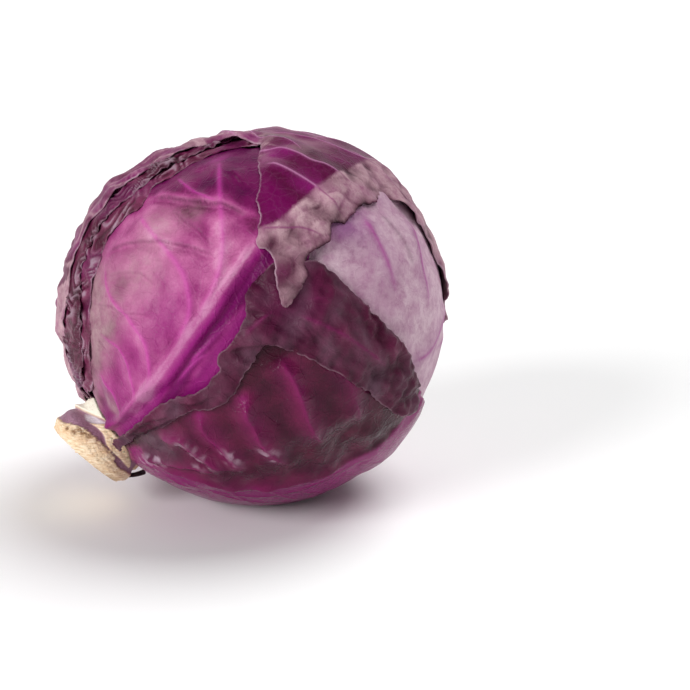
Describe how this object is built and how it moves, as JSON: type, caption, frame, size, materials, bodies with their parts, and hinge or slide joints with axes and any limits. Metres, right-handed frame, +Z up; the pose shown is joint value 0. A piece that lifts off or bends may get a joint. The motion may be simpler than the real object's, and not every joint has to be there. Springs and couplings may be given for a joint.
{
  "type": "red cabbage",
  "caption": "Whole head of red cabbage lying on its side: a tight ball wrapped in overlapping veined leaves, with a cut stem. Display produce that rests on a small flat spot.",
  "frame": {"origin": "centre of the flat spot under the head, on the surface that it rests on", "axes": "+Z up, the camera side at -Y, the cut stem pointing down toward -X"},
  "size_m": [0.1741, 0.1716, 0.1692],
  "materials": {
    "stem_flesh": "dry fibrous cut, tan",
    "heart_leaf": "satin leaf skin, magenta purple",
    "mauve_leaf": "waxy leaf skin, pale mauve bloom",
    "magenta_leaf": "satin leaf skin, bright magenta with paler veins",
    "dark_leaf": "satin leaf skin, brownish purple",
    "wine_leaf": "glossy leaf skin, wine purple",
    "rim_leaf": "satin leaf skin, dusky purple",
    "outer_leaf": "waxy leaf skin, dark purple with pale bloom"
  },
  "bodies": {
    "root": {"stem": "stem_flesh", "heart": "heart_leaf", "leaf_right": "mauve_leaf", "leaf_front": "magenta_leaf", "leaf_low": "wine_leaf", "leaf_torn": "dark_leaf", "leaf_back_inner": "rim_leaf", "leaf_back_middle": "rim_leaf", "leaf_back_outer": "outer_leaf"}
  },
  "joints": []
}
